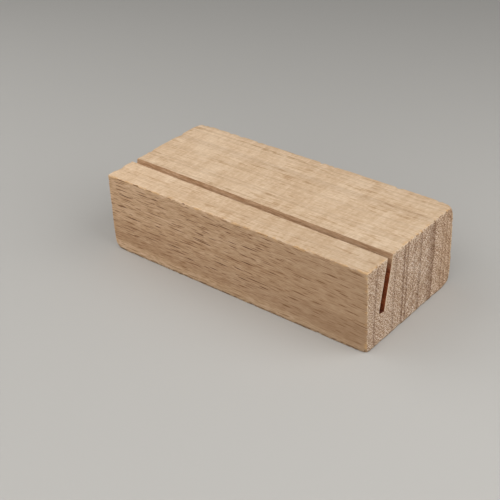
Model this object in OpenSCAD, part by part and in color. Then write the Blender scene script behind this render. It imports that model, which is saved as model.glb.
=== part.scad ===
// Table number holder: one block of beech with a sawn slot that a card stands in, leaning back.
// The origin is the middle of the underside. X runs along the slot, Y from the front to the back,
// and Z up. The front is the long side nearest the slot.

/* [Block] */
// Length of the block, along the slot
block_length = 55; // [40:1:150]
// Depth of the block, from front to back
block_depth = 25; // [20:0.5:50]
// Height of the block
block_height = 15; // [13:0.5:30]
// Radius that the outer edges and corners are sanded to
edge_radius = 0.3; // [0.2:0.1:1.5]

/* [Card slot] */
// From the front face to the slot's front lip, along the top
slot_setback = 5.8; // [5:0.1:12]
// Width of the slot, from wall to wall
slot_width = 1.4; // [0.8:0.1:3]
// Depth of the slot, from its front lip down the wall
slot_depth = 9.4; // [4:0.1:11]
// Angle that the slot leans back from upright, in degrees
slot_lean = 13.5; // [0:0.5:20]

/* [Finish] */
// Colour of the sanded beech
beech_colour = "#dcb98f";

/* [Hidden] */
$fn = 48;
block_size = [block_length, block_depth, block_height];
front_face_y = -block_depth / 2;
cut_overrun = 2;  // how far the cutter runs past each end of the block and above its top

// A box whose twelve edges and eight corners are rounded, standing on z = 0.
// It is made of three slabs, a rod along each edge and a ball in each corner.
module eased_box(size, radius) {
    core = size - 2 * radius * [1, 1, 1];
    // The turn that lays a rod along X, Y or Z
    lay = [[0, 90, 0], [90, 0, 0], [0, 0, 0]];
    translate([0, 0, size.z / 2])
        for (axis = [0:2]) {
            // This axis at full size, and the other two without their rounding
            slab = [for (i = [0:2]) i == axis ? size[i] : core[i]];
            cube(slab, center = true);
            for (a = [-1, 1], b = [-1, 1]) {
                side = [[0, a, b], [a, 0, b], [a, b, 0]][axis];
                translate([for (i = [0:2]) side[i] * core[i] / 2])
                    rotate(lay[axis])
                        cylinder(h = core[axis], r = radius, center = true);
            }
            for (a = [-1, 1], b = [-1, 1], c = axis == 2 ? [-1, 1] : [])
                translate([a * core.x, b * core.y, c * core.z] / 2)
                    sphere(r = radius);
        }
}

// The saw's path: a flat-bottomed kerf, open at both ends and the top. Its front wall passes through
// the slot's front lip, and it leans back about that lip.
module saw_kerf() {
    translate([0, front_face_y + slot_setback, block_height])
        rotate([-slot_lean, 0, 0])
            translate([-block_length / 2 - cut_overrun, 0, -slot_depth])
                cube([block_length + 2 * cut_overrun, slot_width, slot_depth + cut_overrun]);
}

module slotted_block() {
    color(beech_colour)
        difference() {
            eased_box(block_size, edge_radius);
            saw_kerf();
        }
}

slotted_block();
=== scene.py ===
"""Table number holder: one block of sanded beech with a card slot sawn along its top.

The block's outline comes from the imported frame. This script gives it the surface of the real thing: edges
eased by hand, saw marks in the slot and on the ends, and beech whose growth rings, rays and pores run
through the solid.
"""

import math

import bpy
import numpy as np
from bpy.props import FloatProperty, FloatVectorProperty, IntProperty, PointerProperty
from mathutils import Euler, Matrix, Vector


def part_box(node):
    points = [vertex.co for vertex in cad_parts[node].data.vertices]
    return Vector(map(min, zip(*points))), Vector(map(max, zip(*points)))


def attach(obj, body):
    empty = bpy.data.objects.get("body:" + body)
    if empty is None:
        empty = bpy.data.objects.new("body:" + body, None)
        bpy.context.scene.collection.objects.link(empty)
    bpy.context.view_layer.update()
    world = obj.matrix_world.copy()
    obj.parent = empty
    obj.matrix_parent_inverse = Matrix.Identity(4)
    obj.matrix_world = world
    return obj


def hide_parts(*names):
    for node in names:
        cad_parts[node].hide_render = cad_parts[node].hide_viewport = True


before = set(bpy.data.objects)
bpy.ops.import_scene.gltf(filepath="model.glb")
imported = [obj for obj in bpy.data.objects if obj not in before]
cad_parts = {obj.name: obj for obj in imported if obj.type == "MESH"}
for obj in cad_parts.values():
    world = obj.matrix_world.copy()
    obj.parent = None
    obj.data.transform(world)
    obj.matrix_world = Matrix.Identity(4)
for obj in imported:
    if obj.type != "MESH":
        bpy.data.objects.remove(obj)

bl_info = {
    "name": "Table number holder",
    "version": (1, 0, 0),
    "blender": (4, 5, 0),
    "location": "3D View > Sidebar > Holder",
    "description": "Makes a slotted beech block that a table number card stands in",
    "category": "Object",
}

MM = 0.001
NODE = "slotted_block"
LOW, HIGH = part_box(NODE)


def size(name, description, millimetres):
    """A length that a user may change, given in millimetres."""
    return FloatProperty(
        name=name, description=description, default=millimetres * MM, unit="LENGTH", precision=5
    )


def number(name, description, default):
    """A plain number that a user may change."""
    return FloatProperty(name=name, description=description, default=default)


def angle(name, description, degrees):
    """An angle that a user may change, given in degrees."""
    return FloatProperty(
        name=name, description=description, default=math.radians(degrees), subtype="ANGLE"
    )


def colour(name, description, red, green, blue):
    """A linear colour."""
    return FloatVectorProperty(
        name=name, description=description, default=(red, green, blue), subtype="COLOR", size=3,
        min=0, max=1,
    )


class HolderShape(bpy.types.PropertyGroup):
    """Sizes of the block and its slot."""

    slot_setback: size("Slot setback", "From the front face to the slot's front lip", 5.8)
    slot_width: size("Slot width", "From wall to wall", 1.4)
    slot_depth: size("Slot depth", "Down the front wall from its lip", 9.4)
    slot_lean: angle("Slot lean", "How far the slot leans back from upright", 13.5)
    slot_skew: size(
        "Slot skew", "How far the slot strays, to the front at the right end and back at the left", 0.35
    )
    edge_radius: size("Edge radius", "Radius the outer edges are sanded to", 0.2)
    corner_easing: size(
        "Corner easing", "How much rounder the corners are, but for the front's upper two", 0.75
    )
    lip_radius: size("Lip radius", "How far the slot's sawn lips are broken", 0.09)
    cell_along: size("Cell along", "Length of the mesh's cells along the grain", 0.3)
    cell_across: size("Cell across", "Width of the mesh's cells across the grain", 0.42)
    nicks: IntProperty(
        name="Nicks", description="Small dents along the outer edges", default=150, min=0
    )
    seed: IntProperty(name="Seed", description="Seed of the edges' unevenness", default=7)


class HolderSawing(bpy.types.PropertyGroup):
    """The marks that sawing and sanding leave in the surface."""

    score_pitch: size("Score pitch", "Spacing of the saw's scores on the ends", 2.2)
    score_depth: size("Score depth", "Depth of those scores", 0.02)
    score_angle: angle("Score angle", "Slope of those scores on the right end", 45)
    chatter_pitch: size("Chatter pitch", "Spacing of the blade's marks on the slot's walls", 1.1)
    chatter_depth: size("Chatter depth", "Depth of those marks", 0.05)
    ripple_size: size("Ripple size", "Length of the unevenness left by sanding", 7)
    ripple_depth: size("Ripple depth", "Depth of that unevenness", 0.02)


class HolderBeech(bpy.types.PropertyGroup):
    """Colours of the beech."""

    radial: colour("Quarter face", "Top and underside, cut along the rays", 0.70, 0.505, 0.33)
    tangential: colour("Flat face", "Front and back, cut across the rays", 0.545, 0.345, 0.199)
    end: colour("End grain", "Both ends", 0.586, 0.402, 0.266)
    slot: colour("Slot wall", "Sawn walls of the slot", 0.57, 0.35, 0.195)
    deep_slot_shade: colour("Slot shade", "Deep in the slot, where shade is painted", 0.34, 0.085, 0.024)
    # Painted shade: the colour that the slot's walls darken to deeper down the slot
    latewood: colour("Latewood", "The dark side of each growth ring", 0.22, 0.105, 0.048)
    # The ray fleck colour. Only the painted shade along the block's foot uses it
    fleck_and_foot_shade: colour("Ray fleck", "Rays seen end-on, and painted shade at the foot", 0.115, 0.045, 0.014)
    pale: colour("Torn fibre", "Fibres that stand up along an edge", 0.78, 0.60, 0.42)
    burnish: colour("Burnish", "Where an edge has been rubbed", 0.70, 0.42, 0.18)


class HolderStage(bpy.types.PropertyGroup):
    """Floor, light and camera."""

    floor: colour("Floor", "Colour of the floor", 0.505, 0.49, 0.462)
    softbox_side: size("Softbox side", "Side of each of the three square softboxes", 200)
    softbox_distance: size("Softbox distance", "From each softbox to the block", 200)
    softbox_elevation: angle("Softbox elevation", "How high the softboxes stand", 40)
    left_power: number("Left power", "Power of the left softbox, in watts", 0.18)
    left_azimuth: angle("Left azimuth", "Where the left softbox stands, from the front to the right", -70)
    front_power: number("Front power", "Power of the front softbox, in watts", 0.174)
    front_azimuth: angle("Front azimuth", "Where the front softbox stands", 10)
    right_power: number("Right power", "Power of the right softbox, in watts", 0.30)
    right_azimuth: angle("Right azimuth", "Where the right softbox stands", 100)
    sky: number("Sky", "Strength of the light from overhead", 0.18)
    horizon: number("Horizon", "Strength of the light from the horizon", 0.08)
    lens: number("Lens", "Focal length, in millimetres", 80.5)
    distance: size("Distance", "From the camera to its target", 187.3)
    target: FloatVectorProperty(
        name="Target", description="The point that the camera looks at, from the block's middle", size=3,
        default=(1.2 * MM, -8.5 * MM, 0.15 * MM), unit="LENGTH", precision=5,
    )
    azimuth: angle("Azimuth", "How far the camera has gone round to the right end", 40.75)
    elevation: angle("Elevation", "How far the camera looks down", 32.1)
    roll: angle("Roll", "How far the camera is turned about its own line of sight", -3.0)


# ---------------------------------------------------------------------------------------------------------
# Nodes
# ---------------------------------------------------------------------------------------------------------


class Wire:
    """A node's output. Arithmetic on it adds Math nodes to its tree."""

    def __init__(self, graph, socket):
        self.graph = graph
        self.socket = socket

    def out(self, name):
        """Another output of the same node."""
        return Wire(self.graph, self.socket.node.outputs[name])

    def __add__(self, other):
        return self.graph.math("ADD", self, other)

    def __sub__(self, other):
        return self.graph.math("SUBTRACT", self, other)

    def __rsub__(self, other):
        return self.graph.math("SUBTRACT", other, self)

    def __mul__(self, other):
        return self.graph.math("MULTIPLY", self, other)

    def __truediv__(self, other):
        return self.graph.math("DIVIDE", self, other)

    def __pow__(self, other):
        return self.graph.math("POWER", self, other)

    __radd__ = __add__
    __rmul__ = __mul__


class Graph:
    """Adds nodes to one tree, a shader's or a geometry's."""

    def __init__(self, tree):
        self.tree = tree

    def add(self, kind, settings=None, values=None, out=0):
        """A node of this kind. settings are its own options, or a ramp's stops; values go to its sockets."""
        node = self.tree.nodes.new(kind)
        for name, value in (settings or {}).items():
            if name == "stops":
                self.set_stops(node.color_ramp, value)
            else:
                setattr(node, name, value)
        for name, value in (values or {}).items():
            socket = self.find(node.inputs, name)
            if isinstance(value, Wire):
                self.tree.links.new(value.socket, socket)
            else:
                socket.default_value = value
        return Wire(self, self.find(node.outputs, out)) if len(node.outputs) else node

    @staticmethod
    def find(sockets, name):
        """The socket of this number, identifier or name."""
        if isinstance(name, int):
            return sockets[name]
        for socket in sockets:
            if socket.identifier == name:
                return socket
        return sockets[name]

    @staticmethod
    def set_stops(ramp, stops):
        """Gives a ramp its grey stops, each a place and a brightness."""
        while len(ramp.elements) < len(stops):
            ramp.elements.new(1.0)
        for element, (place, brightness) in zip(ramp.elements, stops):
            element.position = place
            element.color = (brightness, brightness, brightness, 1)

    def math(self, operation, *values):
        """A Math node on up to three numbers."""
        return self.add("ShaderNodeMath", {"operation": operation}, dict(enumerate(values)))

    def split(self, vector):
        """The three numbers of a vector."""
        parts = self.add("ShaderNodeSeparateXYZ", values={0: vector})
        return parts, parts.out("Y"), parts.out("Z")

    def join(self, x, y, z):
        """A vector of three numbers."""
        return self.add("ShaderNodeCombineXYZ", values={0: x, 1: y, 2: z})

    def ease(self, value, low, high):
        """0 at low, 1 at high and smooth between. low may be the greater of the two."""
        rising = self.add(
            "ShaderNodeMapRange", {"interpolation_type": "SMOOTHSTEP"},
            {"Value": value, "From Min": min(low, high), "From Max": max(low, high)},
        )
        return 1 - rising if low > high else rising

    def noise(self, vector, detail=2.0, roughness=0.5):
        """Noise from 0 to 1 whose patches are about one unit across."""
        return self.add(
            "ShaderNodeTexNoise", {"noise_dimensions": "3D"},
            {"Vector": vector, "Scale": 1.0, "Detail": detail, "Roughness": roughness},
        )

    def tint(self, base, top, factor):
        """base turned towards the colour top by factor."""
        return self.add(
            "ShaderNodeMix", {"data_type": "RGBA"},
            {"Factor_Float": factor, "A_Color": rgba(base), "B_Color": rgba(top)}, out="Result_Color",
        )


def rgba(value):
    """A colour with its alpha, or a wire left as it is."""
    return value if isinstance(value, Wire) else (*value, 1)


# ---------------------------------------------------------------------------------------------------------
# The beech
# ---------------------------------------------------------------------------------------------------------

# Growth rings: distance of each dark edge from the front face, how far its latewood fades towards the
# front, both in millimetres, and how dark it is. The tree grew from front to back.
RINGS = (
    (2.3, 0.6, 0.75),
    (7.6, 0.6, 0.6),
    (10.2, 0.6, 1.0),
    (11.1, 0.5, 0.9),
    (13.2, 0.5, 0.4),
    (15.0, 0.8, 0.7),
    (19.0, 2.4, 1.0),
    (21.9, 0.6, 0.8),
    (23.0, 0.6, 1.0),
    (24.4, 0.8, 1.0),
)
RING_LEAN = math.radians(2.7)  # the rings lean to the front at the bottom
RING_EDGE = 0.18  # width of the sharp side of a ring, in millimetres

# Markings of the wood. For each: how many to the millimetre along, across and up the block, the detail
# and the seed of its noise, and how strongly it shades the quarter face, the flat face and the slot's
# walls. The last three are rays that lie in the quarter face.
MARKINGS = {
    "fibre": (0.6, 5.2, 5.2, 2.0, 0.0, 0.11, 0.28, 0.08),
    "streak": (0.14, 2.6, 2.6, 3.0, 0.0, 0.07, 0.14, 0.06),
    "band": (0.03, 0.5, 0.42, 2.0, 0.0, 0.05, 0.14, 0.0),
    "patch": (0.42, 0.1, 0.1, 2.0, 0.0, 0.11, 0.0, 0.0),
    "ladder": (2.1, 0.55, 0.55, 1.0, 0.0, 0.065, 0.0, 0.0),
    "swirl": (1.6, 2.6, 2.6, 3.0, 5.0, 0.08, 0.0, 0.0),
}

# The grain sinks towards the right end, from this place along the block, by this much to the square
# millimetre
SINK_START = -10.0
SINK = 0.0007

RAY_REACH = 60.0  # length of a ray from front to back, in millimetres
SCORES_PER_MM = 3.3
SCORE_STRETCH = 0.2  # how often the scores change along their length, to the millimetre

# Colour of a darker place: its green and blue fall by these powers of the fall of its red
GREEN_FALL = 1.4
BLUE_FALL = 1.9


def ring_stops(depth):
    """Brightness stops over the block's depth, 1 on the dark side of a ring and 0 between rings."""
    stops = [(0.0, 0.0)]
    for place, fade, dark in RINGS:
        start = max(place - fade, stops[-1][0] * depth + 0.01)
        stops += [(start / depth, 0.0), (place / depth, dark), ((place + RING_EDGE) / depth, 0.0)]
    return stops


def beech(wood):
    """Sanded beech. The grain runs along X, the rings lie across Y and the rays run along Y."""
    material = bpy.data.materials.new("sanded_beech")
    material.use_nodes = True
    material.node_tree.nodes.clear()
    g = Graph(material.node_tree)
    place = g.add("ShaderNodeTexCoord", out="Object")
    millimetres = g.add("ShaderNodeVectorMath", {"operation": "SCALE"}, {0: place, "Scale": 1 / MM})
    x, y, z = g.split(millimetres)
    slot = attribute(g, "slot_wall")
    arris = attribute(g, "arris")
    slot_edge = attribute(g, "slot_edge")
    deep = attribute(g, "slot_depth")

    # The grain sinks a little towards the right end
    drop = g.math("MAXIMUM", x - SINK_START, 0.0)
    z_grain = z + drop * drop * SINK

    def marks(along, across, up, detail, seed):
        """Marks from -0.5 to 0.5, so many to the millimetre along, across and up the block."""
        vector = g.join(x * along + seed, y * across, z_grain * up)
        return g.ease(g.noise(vector, detail, 0.6), 0.32, 0.68) - 0.5

    # Which kind of face this is. Along the edges the kinds meet in a ragged line
    across_end, across_flat, across_quarter = g.split(place.out("Normal"))
    rough = marks(along=1.2, across=2.0, up=2.0, detail=3.0, seed=11.0) * arris * 1.2
    end = g.ease(across_end * across_end, 0.35, 0.75)
    flat = g.ease(across_flat * across_flat + rough, 0.35, 0.75) * (1 - end)
    quarter = g.ease(across_quarter * across_quarter - rough, 0.35, 0.75) * (1 - end)

    # Growth rings
    wander = g.noise(g.join(x * 0.035, y * 0.1, z_grain * 0.09)) - 0.5
    jitter = g.noise(g.join(x * 0.5, y * 0.6, z_grain * 1.3)) - 0.5
    depth = (HIGH.y - LOW.y) / MM
    from_front = y + depth / 2 - (z_grain - 7.5) * math.tan(RING_LEAN) + wander * 1.0 + jitter * 0.4
    ring = g.add("ShaderNodeValToRGB", {"stops": ring_stops(depth)}, {"Fac": from_front / depth})

    # The markings, and a darker stripe of wood low on the flat faces
    drawn = {name: marks(*numbers[:5]) for name, numbers in MARKINGS.items()}
    fibre, streak, band = drawn["fibre"], drawn["streak"], drawn["band"]
    stripe = g.ease(z_grain, 1.2, 2.6) * g.ease(z_grain + band * 2.0, 7.0, 4.6)

    # Thin dark lines of vessels, broken along their length
    vessel_noise = g.noise(g.join(x * 0.03, y * 1.0, z_grain * 1.0), 1.0) - 0.5
    broken = g.ease(marks(along=0.4, across=1.4, up=1.4, detail=2.0, seed=9.0), -0.35, 0.3)
    vessels = g.ease(g.math("ABSOLUTE", vessel_noise), 0.036, 0.010) * broken

    def rays(spacing, layer, length, height, seed):
        """Rays: thin ribbons from front to back, pointed at both ends. Their sizes are in millimetres."""
        spot = g.join(x / spacing + seed, y / RAY_REACH, z_grain / layer)
        cell = g.add(
            "ShaderNodeTexVoronoi", {"voronoi_dimensions": "3D", "feature": "F1"},
            {"Vector": spot, "Scale": 1.0}, out="Position",
        )
        along, _, up = g.split(g.add("ShaderNodeVectorMath", {"operation": "SUBTRACT"}, {0: spot, 1: cell}))
        luck, shade, _ = g.split(cell.out("Color"))
        along = along * (2.0 * spacing / length) / (0.5 + luck)
        up = g.math("ABSOLUTE", up) * (2.0 * layer / height) / (0.6 + shade * 0.8)
        return g.ease(up + along * along, 1.0, 0.45) * (0.4 + shade * 0.6)

    big_rays = rays(spacing=5.5, layer=0.8, length=3.4, height=0.17, seed=0.0)
    small_rays = rays(spacing=3.4, layer=0.5, length=2.0, height=0.13, seed=3.7)

    # Pores are dots on the end
    speckle = g.ease(g.noise(g.join(x * 2.0, y * 4.5, z * 4.5), 1.5, 0.6), 0.39, 0.61) - 0.5

    def hatch(slope, seed):
        """Saw scores on the ends that rise at this slope, in degrees."""
        cosine, sine = math.cos(math.radians(slope)), math.sin(math.radians(slope))
        across_lines = (y * cosine + z * sine) * SCORES_PER_MM
        along_lines = (z * cosine - y * sine) * SCORE_STRETCH
        return g.ease(g.noise(g.join(across_lines, along_lines, x * 0.1 + seed), 1.0), 0.35, 0.65) - 0.5

    # One set of scores crosses the whole end and the other only its middle
    middle = g.ease(g.math("ABSOLUTE", y - 2.0), 8.0, 3.0)
    score = hatch(42, 0.0) * 0.8 + hatch(-50, 7.0) * middle

    # Colour. What is darker is redder too
    base = g.tint(wood.radial, wood.tangential, flat)
    base = g.tint(base, wood.end, end)
    # Painted shade: the slot's walls turn dark red-brown from 0.6 to 3 mm below the lip
    slot_shade = g.ease(deep, 0.6, 3.0)
    base = g.tint(base, g.tint(wood.slot, wood.deep_slot_shade, slot_shade), slot)
    darkness = ring * (0.18 * quarter + 0.14 * flat + 0.9 * end) + stripe * flat * 0.16
    base = g.tint(base, wood.latewood, darkness)
    pale_foot = g.ease(z_grain, 2.2, 0.8) * flat
    base = g.tint(base, wood.radial, pale_foot * 0.35)
    dark_back = g.ease(from_front, 16.0, 24.0) * end
    base = g.tint(base, wood.slot, dark_back * 0.5)
    strip = g.ease(from_front, 7.0, 5.5) * quarter  # the top in front of the slot
    base = g.tint(base, wood.tangential, strip * 0.12)

    # Light and dark. The flat face is plainer towards the right end
    calm = 1 - g.ease(x, 0.0, 24.0) * 0.35
    tone = 1 + speckle * (0.95 * end + 0.45 * slot * slot_shade) + score * (0.30 * end)
    tone = tone - vessels * (0.20 * quarter)
    for name, (*_, on_quarter, on_flat, on_slot) in MARKINGS.items():
        tone = tone + drawn[name] * (on_quarter * quarter + on_flat * flat * calm + on_slot * slot)
    crowd = 0.5 + g.ease(z_grain + band * 3.0, 2.5, 6.0) * 0.5  # fewer flecks low down
    fleck_and_foot_shade = g.math("MINIMUM", big_rays + small_rays * 0.75, 1.0) * crowd * flat * calm * (1 - slot)
    # Painted shade: the slot's floor is darkened to under a third of its colour
    slot_floor_shade = slot * quarter
    tone = tone * (1 - fleck_and_foot_shade * 0.85) * (1 - slot_floor_shade * 0.7)
    # Painted light: the block is lighter towards the left end and darker towards the right, about an eighth
    # each way on the front, back and ends, less on the top, most on the top in front of the slot
    painted_falloff = 1 - x * (0.0045 - 0.002 * quarter + 0.0022 * strip)
    shaded = g.join(tone * painted_falloff, tone**GREEN_FALL * painted_falloff, tone**BLUE_FALL * painted_falloff)
    base = g.add("ShaderNodeVectorMath", {"operation": "MULTIPLY"}, {0: base, 1: shaded})
    base = g.tint(base, wood.radial, (big_rays + small_rays) * end * 0.25)

    # Wear: torn, pale fibres along the ends' edges and rubbed patches on every edge; then painted shade
    # along the foot, where the block meets the floor
    torn = g.ease(g.noise(g.join(x * 1.4, y * 2.6, z * 2.6), 1.0), 0.45, 0.56)
    base = g.tint(base, wood.latewood, arris * (1 - torn) * end * 0.35)
    base = g.tint(base, wood.pale, g.math("MAXIMUM", arris * torn * 0.9, slot_edge * 0.85) * end)
    worn = g.ease(g.noise(g.join(x * 0.6, y * 1.8, z * 1.8), 2.0, 0.7), 0.47, 0.62)
    rubbed = arris * worn * (1 - torn * end)
    base = g.tint(base, wood.burnish, rubbed * 0.6)
    # Painted shade: the lowest half millimetre of the front, back and ends is darkened towards the ray fleck
    # colour, where the block stands on the floor
    foot_shade = g.ease(z, 0.55, 0.25) * (flat + end) * (1 - torn * 0.6)
    base = g.tint(base, wood.fleck_and_foot_shade, foot_shade * 0.75)

    # Surface
    relief = (
        fibre * 0.3 * (flat + quarter) - (big_rays + small_rays) * 0.15 * flat
        + speckle * 0.8 * end + score * 0.6 * end + streak * 0.8 * slot
    )
    bump = g.add("ShaderNodeBump", values={"Strength": 0.5, "Distance": 0.1 * MM, "Height": relief})
    roughness = 0.62 + speckle * 0.1 * end + fibre * 0.08 + 0.15 * end + 0.15 * slot - rubbed * 0.12
    shader = g.add(
        "ShaderNodeBsdfPrincipled",
        values={"Base Color": base, "Roughness": roughness, "Normal": bump, "Specular IOR Level": 0.35},
    )
    g.add("ShaderNodeOutputMaterial", values={"Surface": shader})
    return material


def attribute(graph, name):
    """A number kept on the mesh's points."""
    return graph.add("ShaderNodeAttribute", {"attribute_name": name}, out="Fac")


# ---------------------------------------------------------------------------------------------------------
# The block
# ---------------------------------------------------------------------------------------------------------

# Distances of the lattice's lines from an outer edge, from a slot lip and from the slot's bottom
EDGE_LINES = np.array([0, 0.03, 0.07, 0.12, 0.18, 0.27, 0.38, 0.52, 0.70, 0.92, 1.18]) * MM
LIP_LINES = np.array([0, 0.03, 0.07, 0.12, 0.20, 0.32]) * MM
FLOOR_LINES = np.array([0, 0.08, 0.22]) * MM
TOUCHING = 1e-9  # points this near to a wall, in metres, lie on it
NOT_ZERO = 1e-12  # the least that is divided by


def smooth(t):
    """0 below 0, 1 above 1 and smooth between."""
    t = np.clip(t, 0, 1)
    return t * t * (3 - 2 * t)


def value_noise(points, length, seed):
    """Smooth random numbers from -1 to 1 that change over about this length."""
    cells = points / length
    base = np.floor(cells).astype(int)
    base_low = base.min(0)
    table = np.random.default_rng(seed).uniform(-1, 1, base.max(0) - base_low + 2)
    share = smooth(cells - base)
    total = np.zeros(len(points))
    for corner in np.ndindex(2, 2, 2):
        weight = np.where(corner, share, 1 - share).prod(1)
        total += weight * table[tuple((base - base_low + corner).T)]
    return total


def lines(start, end, cell, start_lines, end_lines):
    """Lattice lines from start to end, close together where the edges ask for it."""
    low = start + start_lines
    high = (end - end_lines)[::-1]
    count = max(1, round((high[0] - low[-1]) / cell))
    return np.concatenate([low[:-1], np.linspace(low[-1], high[0], count + 1), high[1:]])


class Lattice:
    """A grid of cells that fills the block.

    The cells in the slot are empty. The surface lies between full cells and empty ones, so it is closed
    whatever the sizes.
    """

    def __init__(self, shape):
        lean = shape.slot_lean
        self.tilt = math.tan(lean)
        self.skew = shape.slot_skew
        self.front_wall = LOW.y + shape.slot_setback
        self.back_wall = self.front_wall + shape.slot_width / math.cos(lean)
        self.slot_floor = HIGH.z - shape.slot_depth * math.cos(lean)
        along, across = shape.cell_along, shape.cell_across
        plain = np.array([0.0])  # no closer lines at this end
        x = lines(LOW.x, HIGH.x, along, EDGE_LINES, EDGE_LINES)
        y = [
            lines(LOW.y, self.front_wall, across, EDGE_LINES, LIP_LINES),
            lines(self.front_wall, self.back_wall, across, plain, plain),
            lines(self.back_wall, HIGH.y, across, LIP_LINES, EDGE_LINES),
        ]
        z = [
            lines(LOW.z, self.slot_floor, across, EDGE_LINES, FLOOR_LINES),
            lines(self.slot_floor, HIGH.z, across, FLOOR_LINES, EDGE_LINES),
        ]
        self.slot_columns = slice(len(y[0]) - 1, len(y[0]) + len(y[1]) - 2)
        self.slot_rows = slice(len(z[0]) - 1, None)
        self.axes = [x, np.concatenate([y[0], y[1][1:], y[2][1:]]), np.concatenate([z[0], z[1][1:]])]

    def surface(self):
        """Points of the surface, in the upright block, and the quads that join them, facing outwards."""
        counts = [len(a) for a in self.axes]
        full = np.zeros([n + 1 for n in counts], bool)  # one empty cell all round
        full[1:-1, 1:-1, 1:-1] = True
        full[1:-1, 1:-1, 1:-1][:, self.slot_columns, self.slot_rows] = False
        ids = np.arange(np.prod(counts)).reshape(counts)
        quads = []
        for axis in range(3):
            full_a = np.moveaxis(full, axis, 0)
            ids_a = np.moveaxis(ids, axis, 0)
            change = full_a[1:].astype(int) - full_a[:-1]
            for sign in (-1, 1):
                layer, row, column = np.nonzero(change == sign)
                corners = [
                    ids_a[layer, row - 1 + a, column - 1 + b]
                    for a, b in ((0, 0), (1, 0), (1, 1), (0, 1))
                ]
                # Moving axis 1 to the front swaps the sense of the other two
                turned = (sign == 1) != (axis == 1)
                quads.append(np.stack(corners[::-1] if turned else corners, 1))
        quads = np.concatenate(quads)
        used, faces = np.unique(quads, return_inverse=True)
        index = np.unravel_index(used, counts)
        points = np.stack([a[i] for a, i in zip(self.axes, index)], 1)
        return points, faces.reshape(quads.shape)

    def break_lips(self, points, radius):
        """Rounds the slot's lips along the top and down both ends."""
        x, y, z = points.T
        # Uneven along the lips, and fading out down the ends just above the slot's floor
        radius = radius * (0.75 + 0.45 * value_noise(points, 0.8 * MM, 11))
        radius = radius * smooth((z - self.slot_floor) / (0.5 * MM))
        end_sign = np.sign(x)
        for wall, inwards in ((self.front_wall, -1), (self.back_wall, 1)):
            jaw = ((y - wall) * inwards > -TOUCHING) & (z > self.slot_floor)
            for lip in ("top", "end"):
                below = HIGH.z - z if lip == "top" else HIGH.x - np.abs(x)
                behind = (y - wall) * inwards
                a = np.where(jaw, np.clip(radius - below, 0, None), 0)
                b = np.where(jaw, np.clip(radius - behind, 0, None), 0)
                pull = 1 - np.maximum(a, b) / np.maximum(np.hypot(a, b), NOT_ZERO)
                pull = np.where((a > 0) & (b > 0), pull, 0)
                y = y + inwards * b * pull
                if lip == "top":
                    z = z - a * pull
                else:
                    x = x - end_sign * a * pull
        return np.stack([x, y, z], 1)

    def lean_slot(self, points):
        """Leans the slot back about its front lip, and squares its floor to its walls."""
        x, y, z = points.T
        share = np.interp(y, [LOW.y, self.front_wall, self.back_wall, HIGH.y], [0, 1, 1, 0])
        shift = (self.tilt * (HIGH.z - z) + self.skew * x / HIGH.x) * share
        sink = np.interp(
            y, [self.front_wall, self.back_wall, self.back_wall + 4 * MM],
            [0, self.tilt * (self.back_wall - self.front_wall), 0],
        )
        sink = sink * np.interp(z, [LOW.z, self.slot_floor, HIGH.z], [0, 1, 0])
        return np.stack([x, y - shift, z - sink], 1)


def face_distances(points):
    """How far each point is from the nearer outer face, along X, Y and Z."""
    return np.minimum(points - np.array(LOW), np.array(HIGH) - points)


def edge_distance(points):
    """How far each surface point is from the nearest outer edge."""
    return np.sort(face_distances(points), axis=1)[:, 1]


def corner_distance(points):
    """How far each point is from the nearest corner."""
    return np.linalg.norm(face_distances(points), axis=1)


def ease_edges(points, shape):
    """Carries the points of a sharp box to one whose edges and corners are unevenly rounded."""
    uneven = (
        1
        + 0.25 * value_noise(points, 4 * MM, shape.seed)
        + 0.30 * value_noise(points, 0.7 * MM, shape.seed + 1)
    )
    height = (points[:, 2] - LOW.z) / (HIGH.z - LOW.z)
    # The front's upper corners stay nearly sharp, and the lower edges are rounder than the upper ones
    easing = shape.corner_easing * (1 - 0.85 * smooth(height) * (points[:, 1] < 0))
    radius = shape.edge_radius * uneven * (1.7 - 0.7 * smooth(height * 3))
    radius = radius + easing * np.exp(-((corner_distance(points) / (1.4 * MM)) ** 2))
    radius = radius[:, None]
    inner = np.clip(points, np.array(LOW) + radius, np.array(HIGH) - radius)
    out = points - inner
    longest = np.abs(out).max(1)
    length = np.maximum(np.linalg.norm(out, axis=1), NOT_ZERO)
    return inner + out * (longest / length)[:, None]


def nick_edges(points, shape):
    """Presses small dents into the outer edges, at places that the seed picks."""
    rng = np.random.default_rng(shape.seed)
    middle = np.array((LOW + HIGH) / 2)
    lengths = np.array(HIGH - LOW)
    for _ in range(shape.nicks):
        place = np.where(rng.random(3) < 0.5, LOW, HIGH)
        axis = rng.choice(3, p=lengths / lengths.sum())
        place[axis] = rng.uniform(LOW[axis], HIGH[axis])
        inwards = np.sign(middle - place)
        inwards[axis] = 0
        reach = rng.uniform(0.25, 0.75) * MM
        depth = rng.uniform(0.04, 0.14) * MM
        near = np.clip(1 - (np.linalg.norm(points - place, axis=1) / reach) ** 2, 0, 1)
        points = points + (near**2 * depth)[:, None] * inwards
    return points


def mesh_object(name, points, faces):
    """A closed, smooth-shaded mesh object with sharp creases kept."""
    mesh = bpy.data.meshes.new(name)
    mesh.from_pydata(points.tolist(), [], faces.tolist())
    mesh.update()
    mesh.shade_smooth()
    mesh.set_sharp_from_angle(angle=math.radians(55))
    made = bpy.data.objects.new(name, mesh)
    bpy.context.scene.collection.objects.link(made)
    return made


def keep_numbers(mesh, name, values):
    """Keeps a number on each of the mesh's points."""
    layer = mesh.attributes.new(name, "FLOAT", "POINT")
    layer.data.foreach_set("value", np.asarray(values, np.float32))


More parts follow.
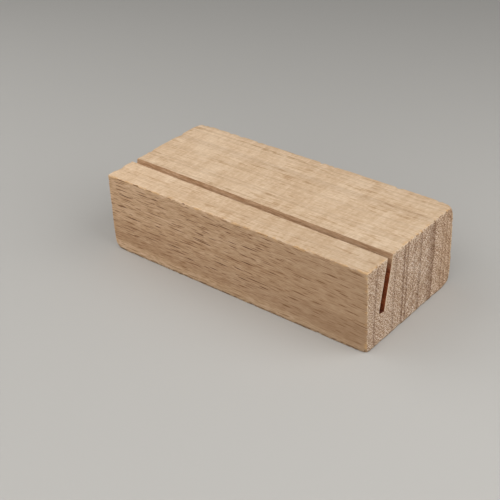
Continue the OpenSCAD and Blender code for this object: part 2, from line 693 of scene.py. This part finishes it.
def slotted_block(shape):
    """The block as a mesh, with the numbers on its points that the sawing and the beech read."""
    lattice = Lattice(shape)
    upright, faces = lattice.surface()
    edges = np.sort(np.concatenate([faces, np.roll(faces, -1, 1)]).reshape(2, -1).T, axis=1)
    _, uses = np.unique(edges, axis=0, return_counts=True)
    if not (uses == 2).all():
        raise RuntimeError("the block's surface isn't closed")
    points = lattice.break_lips(upright, shape.lip_radius)
    points = ease_edges(points, shape)
    points = nick_edges(points, shape)
    points = lattice.lean_slot(points)
    block = mesh_object("slotted_block_sanded", points, faces)
    x, y, z = upright.T
    beside_slot = z > lattice.slot_floor - TOUCHING
    in_slot = (y > lattice.front_wall - TOUCHING) & (y < lattice.back_wall + TOUCHING) & beside_slot
    below_lip = HIGH.z - z
    keep_numbers(block.data, "slot_wall", in_slot * smooth(below_lip / (0.12 * MM)))
    keep_numbers(block.data, "slot_depth", below_lip / MM)
    keep_numbers(block.data, "end_face", smooth((np.abs(x) - HIGH.x) / (0.6 * MM) + 1) * ~in_slot)
    keep_numbers(block.data, "arris", np.exp(-((edge_distance(upright) / (0.42 * MM)) ** 2)))
    from_slot = np.minimum(np.abs(y - lattice.front_wall), np.abs(y - lattice.back_wall))
    slot_edge = np.exp(-((np.maximum(from_slot, HIGH.x - np.abs(x)) / (0.28 * MM)) ** 2))
    keep_numbers(block.data, "slot_edge", slot_edge * beside_slot)
    return block


# ---------------------------------------------------------------------------------------------------------
# Sawing and sanding
# ---------------------------------------------------------------------------------------------------------


def geometry_tree(name, inputs):
    """An empty geometry tree with named inputs: its graph, its input node and the inputs' identifiers."""
    tree = bpy.data.node_groups.new(name, "GeometryNodeTree")
    tree.interface.new_socket("Geometry", in_out="OUTPUT", socket_type="NodeSocketGeometry")
    tree.interface.new_socket("Geometry", in_out="INPUT", socket_type="NodeSocketGeometry")
    identifiers = {}
    for label, kind in inputs.items():
        socket = tree.interface.new_socket(label, in_out="INPUT", socket_type=kind)
        identifiers[label] = socket.identifier
    graph = Graph(tree)
    start = graph.add("NodeGroupInput")
    return graph, start, identifiers


def finish_tree(graph, geometry, material):
    """Ends a tree with real geometry that wears the material."""
    real = graph.add("GeometryNodeRealizeInstances", values={"Geometry": geometry})
    dressed = graph.add("GeometryNodeSetMaterial", values={"Geometry": real, "Material": material})
    graph.add("NodeGroupOutput", values={"Geometry": dressed})


def sawing_tree():
    """Scores the ends, marks the slot's walls with the blade's chatter and ripples the sanded faces."""
    labels = (
        "Score pitch", "Score depth", "Score angle", "Chatter pitch", "Chatter depth", "Ripple size",
        "Ripple depth", "Seed",
    )
    inputs = {**dict.fromkeys(labels, "NodeSocketFloat"), "Material": "NodeSocketMaterial"}
    g, start, identifiers = geometry_tree("sawing_and_sanding", inputs)
    x, y, z = g.split(g.add("GeometryNodeInputPosition"))
    normal = g.add("GeometryNodeInputNormal")
    seed = start.out("Seed")

    def mask(name):
        return g.add("GeometryNodeInputNamedAttribute", {"data_type": "FLOAT"}, {"Name": name}, "Attribute")

    cosine = g.math("COSINE", start.out("Score angle"))
    sine = g.math("SINE", start.out("Score angle"))
    pitch = start.out("Score pitch")
    across = (y * cosine + z * sine) / pitch
    down = (z * cosine - y * sine) / (pitch * 14)
    score = g.noise(g.join(across, down, seed + x * 40), 1.0) - 0.5
    pitch = start.out("Chatter pitch")
    chatter = g.noise(g.join((x + z * 0.35) / pitch, z / (pitch * 9), seed + y * 900), 1.0) - 0.5
    ripple_size = start.out("Ripple size")
    ripple = g.noise(g.join(x / (ripple_size * 2), y / ripple_size, z / ripple_size + seed), 1.0) - 0.5
    height = (
        score * start.out("Score depth") * mask("end_face")
        + chatter * start.out("Chatter depth") * mask("slot_wall")
        + ripple * start.out("Ripple depth")
    ) * 2
    offset = g.add("ShaderNodeVectorMath", {"operation": "SCALE"}, {0: normal, "Scale": height})
    moved = g.add("GeometryNodeSetPosition", values={"Geometry": start, "Offset": offset})
    finish_tree(g, moved, start.out("Material"))
    return g.tree, identifiers


def apply_tree(piece, tree, identifiers, values):
    """Runs a geometry tree on the piece and keeps the result as its plain mesh."""
    modifier = piece.modifiers.new(tree.name, "NODES")
    modifier.node_group = tree
    for label, value in values.items():
        modifier[identifiers[label]] = value
    piece.data.update()
    depsgraph = bpy.context.evaluated_depsgraph_get()
    result = bpy.data.meshes.new_from_object(
        piece.evaluated_get(depsgraph), preserve_all_data_layers=True, depsgraph=depsgraph
    )
    piece.modifiers.remove(modifier)
    piece.data = result
    if not len(result.polygons):
        raise RuntimeError(f"{tree.name} left nothing of {piece.name}")
    return piece


# ---------------------------------------------------------------------------------------------------------
# Operators
# ---------------------------------------------------------------------------------------------------------


class HOLDER_OT_beech(bpy.types.Operator):
    """Make the beech material"""

    bl_idname = "holder.beech"
    bl_label = "Beech"

    def execute(self, context):
        beech(context.scene.holder_beech)
        return {"FINISHED"}


class HOLDER_OT_block(bpy.types.Operator):
    """Make the slotted block, sawn and sanded"""

    bl_idname = "holder.block"
    bl_label = "Slotted block"

    def execute(self, context):
        block = slotted_block(context.scene.holder_shape)
        sawing = context.scene.holder_sawing
        tree, identifiers = sawing_tree()
        values = {
            "Score pitch": sawing.score_pitch,
            "Score depth": sawing.score_depth,
            "Score angle": sawing.score_angle,
            "Chatter pitch": sawing.chatter_pitch,
            "Chatter depth": sawing.chatter_depth,
            "Ripple size": sawing.ripple_size,
            "Ripple depth": sawing.ripple_depth,
            "Seed": float(context.scene.holder_shape.seed),
            "Material": bpy.data.materials["sanded_beech"],
        }
        apply_tree(block, tree, identifiers, values)
        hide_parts(NODE)
        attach(block, "root")
        return {"FINISHED"}


class HOLDER_OT_stage(bpy.types.Operator):
    """Make the floor, the lights and the camera"""

    bl_idname = "holder.stage"
    bl_label = "Stage"

    def execute(self, context):
        stage = context.scene.holder_stage
        make_floor(stage)
        softbox("left_softbox", stage.left_power, stage.left_azimuth, stage)
        softbox("front_softbox", stage.front_power, stage.front_azimuth, stage)
        softbox("right_softbox", stage.right_power, stage.right_azimuth, stage)
        make_sky(stage)
        make_camera(stage)
        context.scene.view_settings.view_transform = "Standard"
        return {"FINISHED"}


def make_floor(stage):
    """A wide plain floor at the height that the block stands on."""
    reach = 3.0  # metres from the middle to each side
    corners = [(a * reach, b * reach, LOW.z) for a, b in ((-1, -1), (1, -1), (1, 1), (-1, 1))]
    mesh = bpy.data.meshes.new("floor")
    mesh.from_pydata(corners, [], [(0, 1, 2, 3)])
    floor = bpy.data.objects.new("floor", mesh)
    bpy.context.scene.collection.objects.link(floor)
    material = bpy.data.materials.new("floor")
    material.use_nodes = True
    material.node_tree.nodes.clear()
    g = Graph(material.node_tree)
    shader = g.add(
        "ShaderNodeBsdfPrincipled",
        values={"Base Color": rgba(stage.floor), "Roughness": 0.75, "Specular IOR Level": 0.2},
    )
    g.add("ShaderNodeOutputMaterial", values={"Surface": shader})
    mesh.materials.append(material)


def direction(azimuth, elevation):
    """The way to something at this azimuth, from the front towards the right end, and this elevation."""
    flat = math.cos(elevation)
    return Vector((math.sin(azimuth) * flat, -math.cos(azimuth) * flat, math.sin(elevation)))


def softbox(name, power, azimuth, stage):
    """A square softbox that faces the block from this azimuth."""
    light = bpy.data.lights.new(name, "AREA")
    light.energy = power
    light.size = stage.softbox_side
    away = direction(azimuth, stage.softbox_elevation)
    made = bpy.data.objects.new(name, light)
    made.location = (LOW + HIGH) / 2 + away * stage.softbox_distance
    made.rotation_euler = (-away).to_track_quat("-Z", "Y").to_euler()
    made.visible_camera = False
    bpy.context.scene.collection.objects.link(made)


def make_sky(stage):
    """Light from all round that dims towards the horizon, where it meets the far floor without a line."""
    world = bpy.data.worlds.new("studio")
    world.use_nodes = True
    world.node_tree.nodes.clear()
    g = Graph(world.node_tree)
    _, _, height = g.split(g.add("ShaderNodeTexCoord", out="Generated"))
    strength = stage.horizon + g.ease(height, 0.05, 0.7) * (stage.sky - stage.horizon)
    light = g.add("ShaderNodeBackground", values={"Color": (1, 1, 1, 1), "Strength": strength})
    g.add("ShaderNodeOutputWorld", values={"Surface": light})
    bpy.context.scene.world = world


def make_camera(stage):
    """A camera that looks down on the front and the right end."""
    data = bpy.data.cameras.new("camera")
    data.lens = stage.lens
    data.clip_start = 0.01
    camera = bpy.data.objects.new("camera", data)
    back = direction(stage.azimuth, stage.elevation)
    camera.location = (LOW + HIGH) / 2 + Vector(stage.target) + back * stage.distance
    look = (-back).to_track_quat("-Z", "Y").to_matrix().to_4x4()
    roll = Euler((0, 0, stage.roll)).to_matrix().to_4x4()
    camera.rotation_euler = (look @ roll).to_euler()
    bpy.context.scene.collection.objects.link(camera)
    bpy.context.scene.camera = camera


class HOLDER_PT_panel(bpy.types.Panel):
    """The holder's pieces and settings"""

    bl_label = "Table number holder"
    bl_idname = "HOLDER_PT_panel"
    bl_space_type = "VIEW_3D"
    bl_region_type = "UI"
    bl_category = "Holder"

    def draw(self, context):
        for kind in OPERATORS:
            self.layout.operator(kind.bl_idname)
        for name in GROUPS:
            box = self.layout.box()
            group = getattr(context.scene, name)
            for field in group.__annotations__:
                box.prop(group, field)


OPERATORS = (HOLDER_OT_beech, HOLDER_OT_block, HOLDER_OT_stage)
GROUPS = {
    "holder_shape": HolderShape,
    "holder_sawing": HolderSawing,
    "holder_beech": HolderBeech,
    "holder_stage": HolderStage,
}


def register():
    """Adds the classes, and one group of settings each to the scene."""
    for kind in (*GROUPS.values(), *OPERATORS, HOLDER_PT_panel):
        bpy.utils.register_class(kind)
    for name, kind in GROUPS.items():
        setattr(bpy.types.Scene, name, PointerProperty(type=kind))


def unregister():
    """Takes them away again."""
    for name in GROUPS:
        delattr(bpy.types.Scene, name)
    for kind in reversed((*GROUPS.values(), *OPERATORS, HOLDER_PT_panel)):
        bpy.utils.unregister_class(kind)


def main():
    """Makes the holder on its stage."""
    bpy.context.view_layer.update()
    register()
    bpy.ops.holder.beech()
    bpy.ops.holder.block()
    bpy.ops.holder.stage()


if __name__ == "__main__":
    main()
